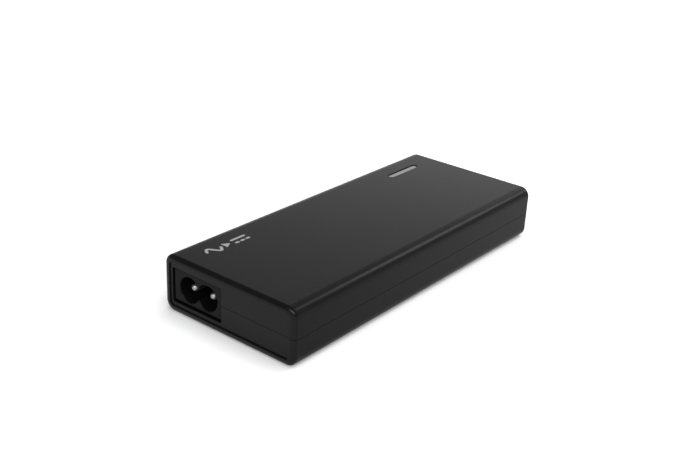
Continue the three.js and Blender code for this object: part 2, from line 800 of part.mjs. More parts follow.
// From the floor up: spreader, film, board, then film and spreader again under the roof.
function addLayers() {
  const lowerSpreader = WALL + GAP;
  const lowerSheet = lowerSpreader + SPREADER_THICKNESS + GAP;
  const upperSheet = PARTS_TOP + 0.5;
  const upperSpreader = upperSheet + SHEET_THICKNESS + GAP;
  const whole = [-62, 62];
  const short = [-62, 34]; // the upper layers stop short of the indicator
  addPart("lower_heat_spreader", layer(lowerSpreader, SPREADER_THICKNESS, whole), MATERIALS.aluminium);
  addPart("lower_insulation_sheet", layer(lowerSheet, SHEET_THICKNESS, whole), MATERIALS.sheetFilm);
  addPart("upper_insulation_sheet", layer(upperSheet, SHEET_THICKNESS, short), MATERIALS.sheetFilm);
  addPart("upper_heat_spreader", layer(upperSpreader, SPREADER_THICKNESS, short), MATERIALS.aluminium);
  addPart("main_board", mainBoard(), MATERIALS.board);
  const pad = block([8, 22], [-15, 5], [lowerSheet + SHEET_THICKNESS + GAP, BOARD_BOTTOM - GAP]);
  addPart("thermal_pad", pad, MATERIALS.padSilicone);
}

// Mains side, in the order that the current meets the parts.
function addInputFilter() {
  const choke = { centre: [-13.5, -35.6], outer: 8, inner: 5, height: 5.4 };
  addFuse([21, -38], 18);
  addPart("surge_varistor", discPart([18.5, -61], 4.2, 3.4), MATERIALS.varistorBlue);
  addPart("inrush_thermistor", discPart([18.5, -53.5], 4.2, 3.8), MATERIALS.thermistorGreen);
  addPart("x_capacitor", filmCapacitor([6.5, -56.5], [13, 12.6], 7.6), MATERIALS.filmYellow);
  const { centre, outer, inner, height } = choke;
  addPart("line_choke_core", toroidCore(centre, outer, inner, height), MATERIALS.ferrite);
  const windings = [
    ["line_choke_winding_left", Math.PI - 1.1, Math.PI + 1.1],
    ["line_choke_winding_right", -1.1, 1.1],
  ];
  for (const [name, from, to] of windings) {
    addPart(name, toroidWinding(centre, outer, inner, height, from, to), MATERIALS.copper);
  }
  addPart("bridge_rectifier", bridgeRectifier([8, -40.5], [17, 12]), MATERIALS.moulding);
  addPart("filter_capacitor", filmCapacitor([8, -28.8], [15, 7], 7.6), MATERIALS.filmYellow);
}

function addPrimary() {
  const sinkX = 22.6;
  const packageX = 20.2;
  addWoundCore("boost_inductor", [-13, -16.2], [20, 17]);
  addPart("primary_heat_sink", heatSink(sinkX, [-26, 6]), MATERIALS.aluminium);
  addPart("boost_diode", powerPackage([packageX, -20.4]), MATERIALS.moulding);
  addPart("boost_switch", powerPackage([packageX, -10]), MATERIALS.moulding);
  addPart("main_switch", powerPackage([packageX, 0.4]), MATERIALS.moulding);
  addPart("bulk_capacitor_left", lyingCan([-18.9, -4], 5.6, 29), MATERIALS.capacitorSleeve);
  addPart("bulk_capacitor_right", lyingCan([-7, -4], 5.6, 29), MATERIALS.capacitorSleeve);
  addPart("controller_chip", chip([8, -14], [4, 5], 1.6, 4), MATERIALS.moulding);
  addWoundCore("transformer", [8.9, 14.6], [17.6, 25]);
}

function addSecondary() {
  const barrier = block([-24, 24], [28.6, 29.2], [PARTS_BOTTOM, PARTS_TOP]);
  addPart("isolation_barrier", barrier, MATERIALS.sheetFilm);
  addPart("y_capacitor", discPart([-19.5, 34], 3.8, 3.2), MATERIALS.varistorBlue);
  addPart("optocoupler", chip([-13.8, 40.4], [6.4, 4.6], 3.6, 2), MATERIALS.moulding);
  addPart("secondary_heat_sink", heatSink(22.6, [31, 57]), MATERIALS.aluminium);
  addPart("sync_rectifier", powerPackage([20.2, 45]), MATERIALS.moulding);
  const choke = [[10.3, 38.2], 5, 3, 5];
  addPart("output_choke_core", toroidCore(...choke), MATERIALS.ferrite);
  addPart("output_choke_winding", toroidWinding(...choke, 0.4, 5.9), MATERIALS.copper);
  const cans = [[-4.6, 34.4], [-4.6, 43.2], [14, 51.4]];
  cans.forEach((place, index) => {
    addPart(`output_capacitor_${index + 1}`, standingCan(place, 4), MATERIALS.capacitorSleeve);
  });
}

addCase();
addSockets();
addIndicator();
addLayers();
addInputFilter();
addPrimary();
addSecondary();

export default adapter;
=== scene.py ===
"""A slim laptop power adapter on a white table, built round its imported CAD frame.

Shapes are worked out in millimetres and scaled to metres when a piece is placed. +Y runs from the
mains inlet to the DC socket, +X is to the right seen from the inlet, and +Z is up.
"""

import json
import math

import bmesh
import bpy
from mathutils import Matrix, Vector


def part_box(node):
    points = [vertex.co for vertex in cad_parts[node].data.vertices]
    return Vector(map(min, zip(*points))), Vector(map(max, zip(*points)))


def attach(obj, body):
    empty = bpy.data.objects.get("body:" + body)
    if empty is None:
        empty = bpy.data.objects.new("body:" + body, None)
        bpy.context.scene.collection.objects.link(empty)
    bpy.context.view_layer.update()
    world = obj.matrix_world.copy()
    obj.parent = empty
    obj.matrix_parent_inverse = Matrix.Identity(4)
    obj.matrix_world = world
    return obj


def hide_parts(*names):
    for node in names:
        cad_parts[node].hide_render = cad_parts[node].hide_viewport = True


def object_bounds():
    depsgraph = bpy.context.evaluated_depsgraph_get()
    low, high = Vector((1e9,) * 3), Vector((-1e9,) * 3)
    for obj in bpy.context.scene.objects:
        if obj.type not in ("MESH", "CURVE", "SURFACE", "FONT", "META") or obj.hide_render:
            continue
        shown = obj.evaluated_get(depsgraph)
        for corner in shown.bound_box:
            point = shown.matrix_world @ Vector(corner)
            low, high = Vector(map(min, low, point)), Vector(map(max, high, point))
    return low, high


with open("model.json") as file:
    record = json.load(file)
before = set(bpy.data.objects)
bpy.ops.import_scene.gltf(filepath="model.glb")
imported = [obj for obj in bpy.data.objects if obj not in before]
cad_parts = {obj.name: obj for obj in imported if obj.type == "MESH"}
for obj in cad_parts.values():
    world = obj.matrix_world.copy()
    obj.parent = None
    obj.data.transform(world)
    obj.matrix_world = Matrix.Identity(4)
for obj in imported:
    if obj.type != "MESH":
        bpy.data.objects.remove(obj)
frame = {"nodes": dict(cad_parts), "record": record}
cad_low, cad_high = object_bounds()

MM = 0.001

# ---------------------------------------------------------------------------------------------
# Driving sizes, in millimetres
# ---------------------------------------------------------------------------------------------

INK_PROUD = 0.02
INK_SUNK = 0.01

HALF_WIDTH = cad_high.x / MM
HALF_LENGTH = cad_high.y / MM
HEIGHT = cad_high.z / MM - INK_PROUD  # the printed ink reaches the top of the frame
MIDDLE_Z = HEIGHT / 2

EDGE_RADIUS = 3.7
END_FILLET_INWARD = 2.2
END_FILLET_DEEP = 1.4
END_FACE_INSET = 2.35
END_FACE_DEPTH = 0.5
END_FACE_SOFTENING = 0.1
WALL = 2.0
CAVITY_RADIUS = 1.7
CAVITY_HALF_WIDTH = HALF_WIDTH - WALL
CAVITY_HALF_LENGTH = HALF_LENGTH - END_FACE_DEPTH - WALL
SUPPORT = 0.45  # distance of the extra loops that keep flats flat beside a fillet
OVERCUT = 1.0  # how far a cutter runs past the face that it cuts
CLEAR_OF_CASE = 5.0  # how far a slab that halves the case reaches beyond it
MOUTH_SPREAD = 0.4  # a rounded mouth's cutter widens by this once it is outside
MOUTH_RISE = 0.08
MOUTH_REACH = 1.5

SEAM_Z = 10.0
SEAM_GAP = 0.14
SEAM_SKIN = 1.0
TONGUE_HEIGHT = 1.2
TONGUE_CLEARANCE = 0.3
TONGUE_ROOT = 0.5  # how far the tongue reaches down into the bottom shell
TONGUE_CORNER = 1.0
CAVITY_OVERLAP = 0.01

WINDOW_CORNER = 0.6
WINDOW_SOFTENING = 0.1

FLANGE_MARGIN = 1.0
FLANGE_OUTSET = 1.2
FLANGE_THICKNESS = 1.5
FLANGE_GAP = 0.3  # between the flange and the end wall
SOCKET_SETBACK = 1.04
SOCKET_CLEARANCE = 0.25
SOCKET_SOFTENING = 0.35
SOCKET_CORNER = 0.5
RECESS_FLOOR_SOFTENING = 0.4
RECESS_FLOOR_EASE = 0.12
INLET_SILL = 0.4  # the gap below the inlet is wider than the one above it by this much
INLET_MOUTH_SOFTENING = 0.45


def window_of(housing):
    """The window that a socket stands in: the socket's flange, less its margin on every side."""
    low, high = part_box(housing)
    return {
        "x": (low.x + high.x) / 2 / MM,
        "z": (low.z + high.z) / 2 / MM,
        "width": (high.x - low.x) / MM - 2 * FLANGE_MARGIN,
        "height": (high.z - low.z) / MM - 2 * FLANGE_MARGIN,
        "low_y": low.y / MM,
        "high_y": high.y / MM,
    }


INLET = window_of("inlet_housing")
INLET_X = -13.7
INLET_Z = INLET["z"]
PIN_PITCH = 8.6
PIN_RADIUS = 1.2
PIN_TIP_SETBACK = 2.75
PIN_DOME = 0.95  # height of the domed tip, in pin radii
PIN_DOME_STEPS = 8
PIN_CHAMFER = 0.2
TAIL_HALF_WIDTH = 0.7
TAIL_DEPTH = 1.3
TAIL_BOTTOM = 7.1
LOBE_HALF_PITCH = 4.05
LOBE_RADIUS = 4.42
NECK_HALF_HEIGHT = 2.15
NECK_MARGIN = 0.05  # keeps the neck above the point where the two lobes cross
NOTCH_ROUNDING = 5  # degrees of each lobe that the rounding of a notch's tip takes up
INLET_RECESS_DEPTH = 11.0

OUTPUT = window_of("output_socket_housing")
OUTPUT_X = OUTPUT["x"]
OUTPUT_BORE_RADIUS = 3.2
OUTPUT_BORE_DEPTH = 10.0
OUTPUT_PIN_RADIUS = 1.25
OUTPUT_MOUTH_SOFTENING = 0.35
COLLAR_OUTER_RADIUS = 4.9
COLLAR_INNER_RADIUS = 4.5
COLLAR_DEPTH = 0.25
ROUND_STEPS = 48

lens_low, lens_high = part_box("indicator_lens")
INDICATOR_X = (lens_low.x + lens_high.x) / 2 / MM
INDICATOR_Y = (lens_low.y + lens_high.y) / 2 / MM
LENS_TOP = lens_high.z / MM
INDICATOR_WIDTH = 2.6
INDICATOR_LENGTH = 17.9
SLOT_SOFTENING = 0.22
LENS_CLEARANCE = 0.12
LENS_SOFTENING = 0.3
LENS_FLANGE_OUTSET = 0.9
LENS_FLANGE_TOP = 0.3  # below the underside of the roof
LENS_FLANGE_BOTTOM = 1.3
STEM_HALF_WIDTH = 1.3
STEM_HALF_LENGTH = 2.0

label_low, label_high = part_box("rating_label")
LABEL_HALF_WIDTH = (label_high.x - label_low.x) / 2 / MM
LABEL_HALF_LENGTH = (label_high.y - label_low.y) / 2 / MM
LABEL_CORNER = 1.5
LABEL_RECESS_DEPTH = 0.6
LABEL_RECESS_MARGIN = 0.3
LABEL_MOUTH_SOFTENING = 0.15
LABEL_SOFTENING = 0.05

MARK_X = -18.25
MARK_Y = -50.4
MARK_LENGTH = 19.2
MARK_HEIGHT = 4.6
MARK_STROKE = 1.0
WAVE_LENGTH = 6.2
ARROW_LENGTH = 2.8
ARROW_HALF = 1.7
BAR_LENGTH = 6.0
DASH_GAP = 1.5
LINE_OFFSET = 1.2

# ---------------------------------------------------------------------------------------------
# Camera
# ---------------------------------------------------------------------------------------------

CAMERA_AZIMUTH = math.radians(37.665)
CAMERA_ELEVATION = math.radians(24.279)
CAMERA_ROLL = math.radians(2.972)
CAMERA_DISTANCE = 373.76
CAMERA_RIGHT = -4.585
CAMERA_UP = 3.353
CAMERA_AIM_HEIGHT = 10.364
CAMERA_LENS = 53.27


def make_camera():
    """The camera stands at its distance from the aim point, then slides sideways and up, and rolls."""
    azimuth, elevation = CAMERA_AZIMUTH, CAMERA_ELEVATION
    back = Vector((
        math.sin(azimuth) * math.cos(elevation),
        -math.cos(azimuth) * math.cos(elevation),
        math.sin(elevation),
    ))
    level_right = Vector((math.cos(azimuth), math.sin(azimuth), 0))
    level_up = back.cross(level_right)
    right = math.cos(CAMERA_ROLL) * level_right + math.sin(CAMERA_ROLL) * level_up
    up = math.cos(CAMERA_ROLL) * level_up - math.sin(CAMERA_ROLL) * level_right
    place = back * CAMERA_DISTANCE + right * CAMERA_RIGHT + up * CAMERA_UP
    place += Vector((0, 0, CAMERA_AIM_HEIGHT))
    data = bpy.data.cameras.new("camera")
    data.lens = CAMERA_LENS
    data.clip_start = 0.01
    camera = bpy.data.objects.new("camera", data)
    camera.matrix_world = Matrix.Translation(place * MM) @ Matrix((right, up, back)).transposed().to_4x4()
    bpy.context.scene.collection.objects.link(camera)
    bpy.context.scene.camera = camera


# ---------------------------------------------------------------------------------------------
# Mesh helpers
# ---------------------------------------------------------------------------------------------


def new_object(name, vertices, faces):
    mesh = bpy.data.meshes.new(name)
    mesh.from_pydata([tuple(v) for v in vertices], [], faces)
    obj = bpy.data.objects.new(name, mesh)
    bpy.context.scene.collection.objects.link(obj)
    turn_faces_out(obj)
    return obj


def turn_faces_out(obj):
    bm = bmesh.new()
    bm.from_mesh(obj.data)
    bmesh.ops.recalc_face_normals(bm, faces=bm.faces)
    bm.to_mesh(obj.data)
    bm.free()


def loft(name, loops):
    """A closed solid through loops of equal length, capped at both ends."""
    count = len(loops[0])
    vertices = [point for loop in loops for point in loop]
    faces = []
    for level in range(len(loops) - 1):
        low, high = level * count, (level + 1) * count
        for i in range(count):
            j = (i + 1) % count
            faces.append((low + i, low + j, high + j, high + i))
    faces.append(tuple(range(count)))
    last = (len(loops) - 1) * count
    faces.append(tuple(range(last, last + count)))
    return new_object(name, vertices, faces)


def ring_loft(name, outer, inner, z0, z1):
    """A closed upright ring between an outer and an inner outline of equal length."""
    count = len(outer)
    loops = [
        [(x, y, z0) for x, y in outer],
        [(x, y, z1) for x, y in outer],
        [(x, y, z1) for x, y in inner],
        [(x, y, z0) for x, y in inner],
    ]
    vertices = [point for loop in loops for point in loop]
    faces = []
    for level in range(4):
        low, high = level * count, (level + 1) % 4 * count
        for i in range(count):
            j = (i + 1) % count
            faces.append((low + i, low + j, high + j, high + i))
    return new_object(name, vertices, faces)


def lathe_y(name, profile, x, z, direction, segments=48):
    """A turned solid from (radius, distance along Y) points; the ends lie on the axis."""
    vertices = []
    for radius, along in profile[1:-1]:
        for i in range(segments):
            turn = 2 * math.pi * i / segments
            vertices.append((x + radius * math.cos(turn), direction * along, z + radius * math.sin(turn)))
    rings = len(profile) - 2
    start, end = len(vertices), len(vertices) + 1
    vertices.append((x, direction * profile[0][1], z))
    vertices.append((x, direction * profile[-1][1], z))
    faces = []
    for i in range(segments):
        j = (i + 1) % segments
        faces.append((start, j, i))
        for ring in range(rings - 1):
            low, high = ring * segments, (ring + 1) * segments
            faces.append((low + i, low + j, high + j, high + i))
        last = (rings - 1) * segments
        faces.append((last + i, last + j, end))
    return new_object(name, vertices, faces)


def box_solid(name, low, high):
    corners = [(x, y, z) for z in (low[2], high[2]) for x, y in (
        (low[0], low[1]), (high[0], low[1]), (high[0], high[1]), (low[0], high[1]))]
    faces = [(0, 1, 2, 3), (4, 5, 6, 7), (0, 1, 5, 4), (1, 2, 6, 5), (2, 3, 7, 6), (3, 0, 4, 7)]
    return new_object(name, corners, faces)


def apply_modifiers(obj):
    depsgraph = bpy.context.evaluated_depsgraph_get()
    made = bpy.data.meshes.new_from_object(obj.evaluated_get(depsgraph), depsgraph=depsgraph)
    obj.modifiers.clear()
    obj.data = made


def combine(obj, tool, operation):
    """Joins a solid with another, or cuts it, and uses the other up."""
    modifier = obj.modifiers.new("combine", "BOOLEAN")
    modifier.operation = operation
    modifier.solver = "EXACT"
    modifier.object = tool
    apply_modifiers(obj)
    bpy.data.objects.remove(tool)
    return obj


def cut(obj, *tools):
    for tool in tools:
        combine(obj, tool, "DIFFERENCE")
    return obj


def merge(obj, *others):
    """Puts separate closed solids into one mesh, without a boolean."""
    bm = bmesh.new()
    bm.from_mesh(obj.data)
    for other in others:
        bm.from_mesh(other.data)
        bpy.data.objects.remove(other)
    bm.to_mesh(obj.data)
    bm.free()
    return obj


def shade(obj, sharp_degrees=35):
    """Smooth faces with sharp edges above an angle, and flats that keep their own normal."""
    limit = math.radians(sharp_degrees)
    bm = bmesh.new()
    bm.from_mesh(obj.data)
    bmesh.ops.remove_doubles(bm, verts=bm.verts, dist=1e-4)
    for face in bm.faces:
        face.smooth = True
    for edge in bm.edges:
        edge.smooth = len(edge.link_faces) == 2 and edge.calc_face_angle(0) < limit
    bm.to_mesh(obj.data)
    bm.free()
    modifier = obj.modifiers.new("flat_normals", "WEIGHTED_NORMAL")
    modifier.keep_sharp = True
    modifier.weight = 80
    return obj


def place(obj, material, slot, *replaced):
    """Scales a finished piece to metres and ties it to the frame."""
    obj.data.transform(Matrix.Scale(MM, 4))
    obj.data.materials.clear()
    obj.data.materials.append(material)
    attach(obj, "root")
    if replaced:
        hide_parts(*replaced)
    return obj


# ---------------------------------------------------------------------------------------------
# Outlines
# ---------------------------------------------------------------------------------------------


def arc(centre, radius, start, end, steps):
    """Points of an arc, both ends included; angles in degrees."""
    points = []
    for i in range(steps + 1):
        turn = math.radians(start + (end - start) * i / steps)
        points.append((centre[0] + radius * math.cos(turn), centre[1] + radius * math.sin(turn)))
    return points


def rounded_rectangle(half_width, half_height, radius, steps=8, support=0.0):
    """Corner arcs, each with an extra point before and after it where support is given."""
    a, b = half_width - radius, half_height - radius
    points = []
    for sx, sy, start in ((1, 1, 0), (-1, 1, 90), (-1, -1, 180), (1, -1, 270)):
        corner = arc((sx * a, sy * b), radius, start, start + 90, steps)
        if support:
            first, last = math.radians(start - 90), math.radians(start + 180)
            before = (corner[0][0] + support * math.cos(first), corner[0][1] + support * math.sin(first))
            after = (corner[-1][0] + support * math.cos(last), corner[-1][1] + support * math.sin(last))
            corner = [before, *corner, after]
        points += corner
    return points


def pill(half_width, half_length, steps=14):
    """A long slot with half-round ends, along the second axis."""
    straight = half_length - half_width
    return arc((0, straight), half_width, 0, 180, steps) + arc((0, -straight), half_width, 180, 360, steps)


def figure_eight(offset=0.0):
    """The C8 outline, grown by offset: two lobes, and a neck whose noses are rounded."""
    radius = LOBE_RADIUS + offset
    neck = NECK_HALF_HEIGHT + offset
    if radius > LOBE_HALF_PITCH:
        crossing = math.sqrt(radius**2 - LOBE_HALF_PITCH**2)
        neck = max(neck, crossing + NECK_MARGIN)
    turn = math.degrees(math.asin(neck / radius))
    lobe = arc((LOBE_HALF_PITCH, 0), radius, 0, 180 - turn - NOTCH_ROUNDING, 20)
    corner = (LOBE_HALF_PITCH - radius * math.cos(math.radians(turn)), neck)
    start, end = lobe[-1], (0.0, neck)
    nose = []
    for t in (0.2, 0.4, 0.6, 0.8):
        a, b, c = (1 - t) ** 2, 2 * t * (1 - t), t * t
        nose.append((a * start[0] + b * corner[0] + c * end[0], a * start[1] + b * corner[1] + c * end[1]))
    upper_right = lobe + nose
    upper_left = [(-x, y) for x, y in reversed(upper_right)]
    upper = upper_right + [end] + upper_left
    lower = [(x, -y) for x, y in reversed(upper[1:-1])]
    return upper + lower


def flare(softening, steps=5):
    """(outward offset, depth) pairs of a rounded mouth, from deep inside to clear outside."""
    pairs = []
    for i in range(steps + 1):
        turn = math.radians(80 * i / steps)
        pairs.append((softening * (1 - math.cos(turn)), softening * (1 - math.sin(turn))))
    offset, depth = pairs[-1]
    pairs.append((offset + MOUTH_SPREAD, depth - MOUTH_RISE))
    pairs.append((offset + MOUTH_SPREAD, -MOUTH_REACH))
    return pairs


# ---------------------------------------------------------------------------------------------
# Case
# ---------------------------------------------------------------------------------------------

CORNER_STEPS = 14
END_STEPS = 9


def case_ring(inset, y):
    outline = rounded_rectangle(
        HALF_WIDTH - inset, MIDDLE_Z - inset, EDGE_RADIUS - inset, CORNER_STEPS, SUPPORT
    )
    return [Vector((x, y, z + MIDDLE_Z)) for x, z in outline]


def end_profile():
    """(inset, distance from the end plane) of one end, from the straight bar to the end face."""
    pairs = [(0, END_FILLET_DEEP + SUPPORT)]
    for i in range(END_STEPS + 1):
        turn = math.pi / 2 * i / END_STEPS
        inward = END_FILLET_INWARD * (1 - math.cos(turn))
        pairs.append((inward, END_FILLET_DEEP * (1 - math.sin(turn))))
    soft = END_FACE_SOFTENING
    for turn in (0, 30, 60, 90):
        a = math.radians(turn)
        pairs.append((END_FACE_INSET - soft + soft * math.sin(a), soft * (1 - math.cos(a))))
    for turn in (0, 45, 90):
        a = math.radians(turn)
        rise = soft * math.sin(a)
        pairs.append((END_FACE_INSET + soft * (1 - math.cos(a)), END_FACE_DEPTH - soft + rise))
    return pairs


def case_outside():
    profile = end_profile()
    near = [case_ring(inset, -HALF_LENGTH + depth) for inset, depth in reversed(profile)]
    far = [case_ring(inset, HALF_LENGTH - depth) for inset, depth in profile]
    return loft("case_outside", near + far)


def case_cavity():
    outline = rounded_rectangle(CAVITY_HALF_WIDTH, MIDDLE_Z - WALL, CAVITY_RADIUS, 5)
    return loft("cavity", [
        [Vector((x, y, z + MIDDLE_Z)) for x, z in outline]
        for y in (-CAVITY_HALF_LENGTH, CAVITY_HALF_LENGTH)
    ])


def window_cutter(window, side):
    """A cutter for an end wall's window, with a rounded mouth at the end face."""
    levels = [(0, WALL + OVERCUT)] + flare(WINDOW_SOFTENING)
    loops = []
    for offset, depth in levels:
        y = side * (HALF_LENGTH - END_FACE_DEPTH - depth)
        outline = rounded_rectangle(
            window["width"] / 2 + offset, window["height"] / 2 + offset, WINDOW_CORNER + offset, 5
        )
        loops.append([Vector((window["x"] + x, y, window["z"] + z)) for x, z in outline])
    return loft("window_cutter", loops)


def slot_cutter():
    """A cutter for the light bar's slot in the roof."""
    loops = []
    for offset, depth in [(0, WALL + OVERCUT)] + flare(SLOT_SOFTENING):
        outline = pill(INDICATOR_WIDTH / 2 + offset, INDICATOR_LENGTH / 2 + offset)
        loops.append([Vector((INDICATOR_X + x, INDICATOR_Y + y, HEIGHT - depth)) for x, y in outline])
    return loft("slot_cutter", loops)


def label_cutter():
    """A cutter for the shallow recess that the label lies in."""
    loops = []
    for offset, depth in [(0, LABEL_RECESS_DEPTH)] + flare(LABEL_MOUTH_SOFTENING):
        outline = rounded_rectangle(
            LABEL_HALF_WIDTH + LABEL_RECESS_MARGIN + offset,
            LABEL_HALF_LENGTH + LABEL_RECESS_MARGIN + offset,
            LABEL_CORNER + offset,
        )
        loops.append([Vector((x, y, depth)) for x, y in outline])
    return loft("label_cutter", loops)


def seam_ring(outset, z0, z1):
    """A ring round the cavity, for the tongue or for its rebate."""
    outer = rounded_rectangle(
        CAVITY_HALF_WIDTH + outset, CAVITY_HALF_LENGTH + outset, TONGUE_CORNER + outset
    )
    inner = rounded_rectangle(
        CAVITY_HALF_WIDTH - CAVITY_OVERLAP, CAVITY_HALF_LENGTH - CAVITY_OVERLAP, TONGUE_CORNER
    )
    return ring_loft("seam_ring", outer, inner, z0, z1)


def case_half(name, low_z, high_z):
    slab = box_solid(
        "slab",
        (-HALF_WIDTH - CLEAR_OF_CASE, -HALF_LENGTH - CLEAR_OF_CASE, low_z),
        (HALF_WIDTH + CLEAR_OF_CASE, HALF_LENGTH + CLEAR_OF_CASE, high_z),
    )
    half = combine(case_outside(), slab, "INTERSECT")
    half.name = name
    cut(half, case_cavity())
    return half


def cut_windows(shell):
    return cut(shell, window_cutter(INLET, -1), window_cutter(OUTPUT, 1))


def make_top_shell():
    seam = SEAM_Z + SEAM_GAP / 2
    shell = case_half("top_shell_moulding", seam, HEIGHT + CLEAR_OF_CASE)
    rebate_top = seam + TONGUE_HEIGHT + TONGUE_CLEARANCE
    cut(shell, seam_ring(WALL - SEAM_SKIN, seam - OVERCUT, rebate_top), slot_cutter())
    return shade(cut_windows(shell))


def make_bottom_shell():
    seam = SEAM_Z - SEAM_GAP / 2
    shell = case_half("bottom_shell_moulding", -CLEAR_OF_CASE, seam)
    outset = WALL - SEAM_SKIN - TONGUE_CLEARANCE
    tongue = seam_ring(outset, seam - TONGUE_ROOT, seam + TONGUE_HEIGHT)
    combine(shell, tongue, "UNION")
    cut(shell, label_cutter())
    return shade(cut_windows(shell))


def make_label():
    soft = LABEL_SOFTENING
    low, high = label_low.z / MM, label_high.z / MM
    loops = []
    for inset, z in ((soft, low), (0, low + soft), (0, high - soft), (soft, high)):
        outline = rounded_rectangle(
            LABEL_HALF_WIDTH - inset, LABEL_HALF_LENGTH - inset, LABEL_CORNER - inset
        )
        loops.append([Vector((x, y, z)) for x, y in outline])
    return shade(loft("rating_label_film", loops))


# ---------------------------------------------------------------------------------------------
# Sockets
# ---------------------------------------------------------------------------------------------


def socket_body(name, window, back_y, side, sill=0.0):
    """A moulded block with a softened front face, a flange behind the wall and a plain back."""
    half_width = window["width"] / 2 - SOCKET_CLEARANCE
    half_height = window["height"] / 2 - SOCKET_CLEARANCE - sill / 2
    centre_z = window["z"] + sill / 2
    face = HALF_LENGTH - SOCKET_SETBACK
    flange = CAVITY_HALF_LENGTH - FLANGE_GAP
    flange_back = flange - FLANGE_THICKNESS
    soft = SOCKET_SOFTENING
    levels = []
    for turn in (90, 67, 45, 22, 0):
        a = math.radians(turn)
        levels.append((-soft * (1 - math.cos(a)), face - soft * (1 - math.sin(a))))
    levels += [(0, flange), (FLANGE_OUTSET, flange)]
    levels += [(FLANGE_OUTSET, flange_back), (0, flange_back), (0, back_y)]
    loops = []
    for outset, y in levels:
        corner = SOCKET_CORNER + max(outset, 0)
        outline = rounded_rectangle(half_width + outset, half_height + outset, corner, 5)
        loops.append([Vector((window["x"] + x, side * y, centre_z + z)) for x, z in outline])
    return loft(name, loops)


def mouth_cutter(centre, side, depth, softening, outline_at):
    """A cutter for a recess in a socket's face, with a rounded mouth and a softened floor."""
    face = HALF_LENGTH - SOCKET_SETBACK
    soft, ease = RECESS_FLOOR_SOFTENING, RECESS_FLOOR_EASE
    levels = [(-soft, depth), (-ease, depth - ease), (0, depth - soft)] + flare(softening)
    loops = []
    for offset, level in levels:
        y = side * (face - level)
        loops.append([Vector((centre[0] + x, y, centre[1] + z)) for x, z in outline_at(offset)])
    return loft("mouth_cutter", loops)


def make_inlet():
    body = socket_body("inlet_moulding", INLET, -INLET["high_y"], -1, INLET_SILL)
    centre = (INLET_X, INLET_Z)
    cut(body, mouth_cutter(centre, -1, INLET_RECESS_DEPTH, INLET_MOUTH_SOFTENING, figure_eight))
    return shade(body)


def round_outline(radius):
    """A function that gives a full circle of points, grown by an offset."""
    last = 360 - 360 / ROUND_STEPS
    return lambda offset: arc((0, 0), radius + offset, 0, last, ROUND_STEPS - 1)


def make_output():
    body = socket_body("output_socket_moulding", OUTPUT, OUTPUT["low_y"], 1)
    bore = round_outline(OUTPUT_BORE_RADIUS)
    centre = (OUTPUT_X, OUTPUT["z"])
    cut(body, mouth_cutter(centre, 1, OUTPUT_BORE_DEPTH, OUTPUT_MOUTH_SOFTENING, bore))
    outer = round_outline(COLLAR_OUTER_RADIUS)(0)
    inner = round_outline(COLLAR_INNER_RADIUS)(0)
    face = HALF_LENGTH - SOCKET_SETBACK
    ring = ring_loft("collar_groove", outer, inner, -COLLAR_DEPTH, OVERCUT)
    upright = Matrix.Rotation(-math.pi / 2, 4, "X")
    ring.data.transform(Matrix.Translation((OUTPUT_X, face, OUTPUT["z"])) @ upright)
    cut(body, ring)
    return shade(body)


def make_pin(name, x, z, radius, tip, tail, direction):
    """A round pin with a domed tip, a chamfered back and a tail down to the board."""
    dome = PIN_DOME * radius
    profile = [(0, tip)]
    for i in range(1, PIN_DOME_STEPS + 1):
        turn = math.pi / 2 * i / PIN_DOME_STEPS
        profile.append((radius * math.sin(turn), tip - dome * (1 - math.cos(turn))))
    profile += [(radius, tail + PIN_CHAMFER), (radius - PIN_CHAMFER, tail), (0, tail)]
    pin = lathe_y(name, profile, x, z, direction)
    across = (direction * (tail + PIN_CHAMFER), direction * (tail + TAIL_DEPTH))
    tail_box = box_solid(
        "tail",
        (x - TAIL_HALF_WIDTH, min(across), TAIL_BOTTOM),
        (x + TAIL_HALF_WIDTH, max(across), z),
    )
    return shade(merge(pin, tail_box))


# ---------------------------------------------------------------------------------------------
# Indicator lens and printed mark
# ---------------------------------------------------------------------------------------------


def make_lens():
    """The light bar: a rounded top just below the case, a flange under the roof and a stem."""
    soft = LENS_SOFTENING
    half_width = INDICATOR_WIDTH / 2 - LENS_CLEARANCE
    half_length = INDICATOR_LENGTH / 2 - LENS_CLEARANCE
    roof = HEIGHT - WALL
    flange_top = roof - LENS_FLANGE_TOP
    flange_bottom = roof - LENS_FLANGE_BOTTOM
    levels = []
    for turn in (90, 68, 45, 22, 0):
        a = math.radians(turn)
        levels.append((-soft * (1 - math.cos(a)), LENS_TOP - soft * (1 - math.sin(a))))
    levels += [(0, flange_top), (LENS_FLANGE_OUTSET, flange_top)]
    levels += [(LENS_FLANGE_OUTSET, flange_bottom), (0, flange_bottom)]
    loops = []
    for outset, z in levels:
        outline = pill(half_width + outset, half_length + outset)
        loops.append([Vector((INDICATOR_X + x, INDICATOR_Y + y, z)) for x, y in outline])
    lens = loft("indicator_light_bar", loops)
    stem = box_solid(
        "stem",
        (INDICATOR_X - STEM_HALF_WIDTH, INDICATOR_Y - STEM_HALF_LENGTH, lens_low.z / MM),
        (INDICATOR_X + STEM_HALF_WIDTH, INDICATOR_Y + STEM_HALF_LENGTH, flange_bottom),
    )
    return shade(merge(lens, stem))


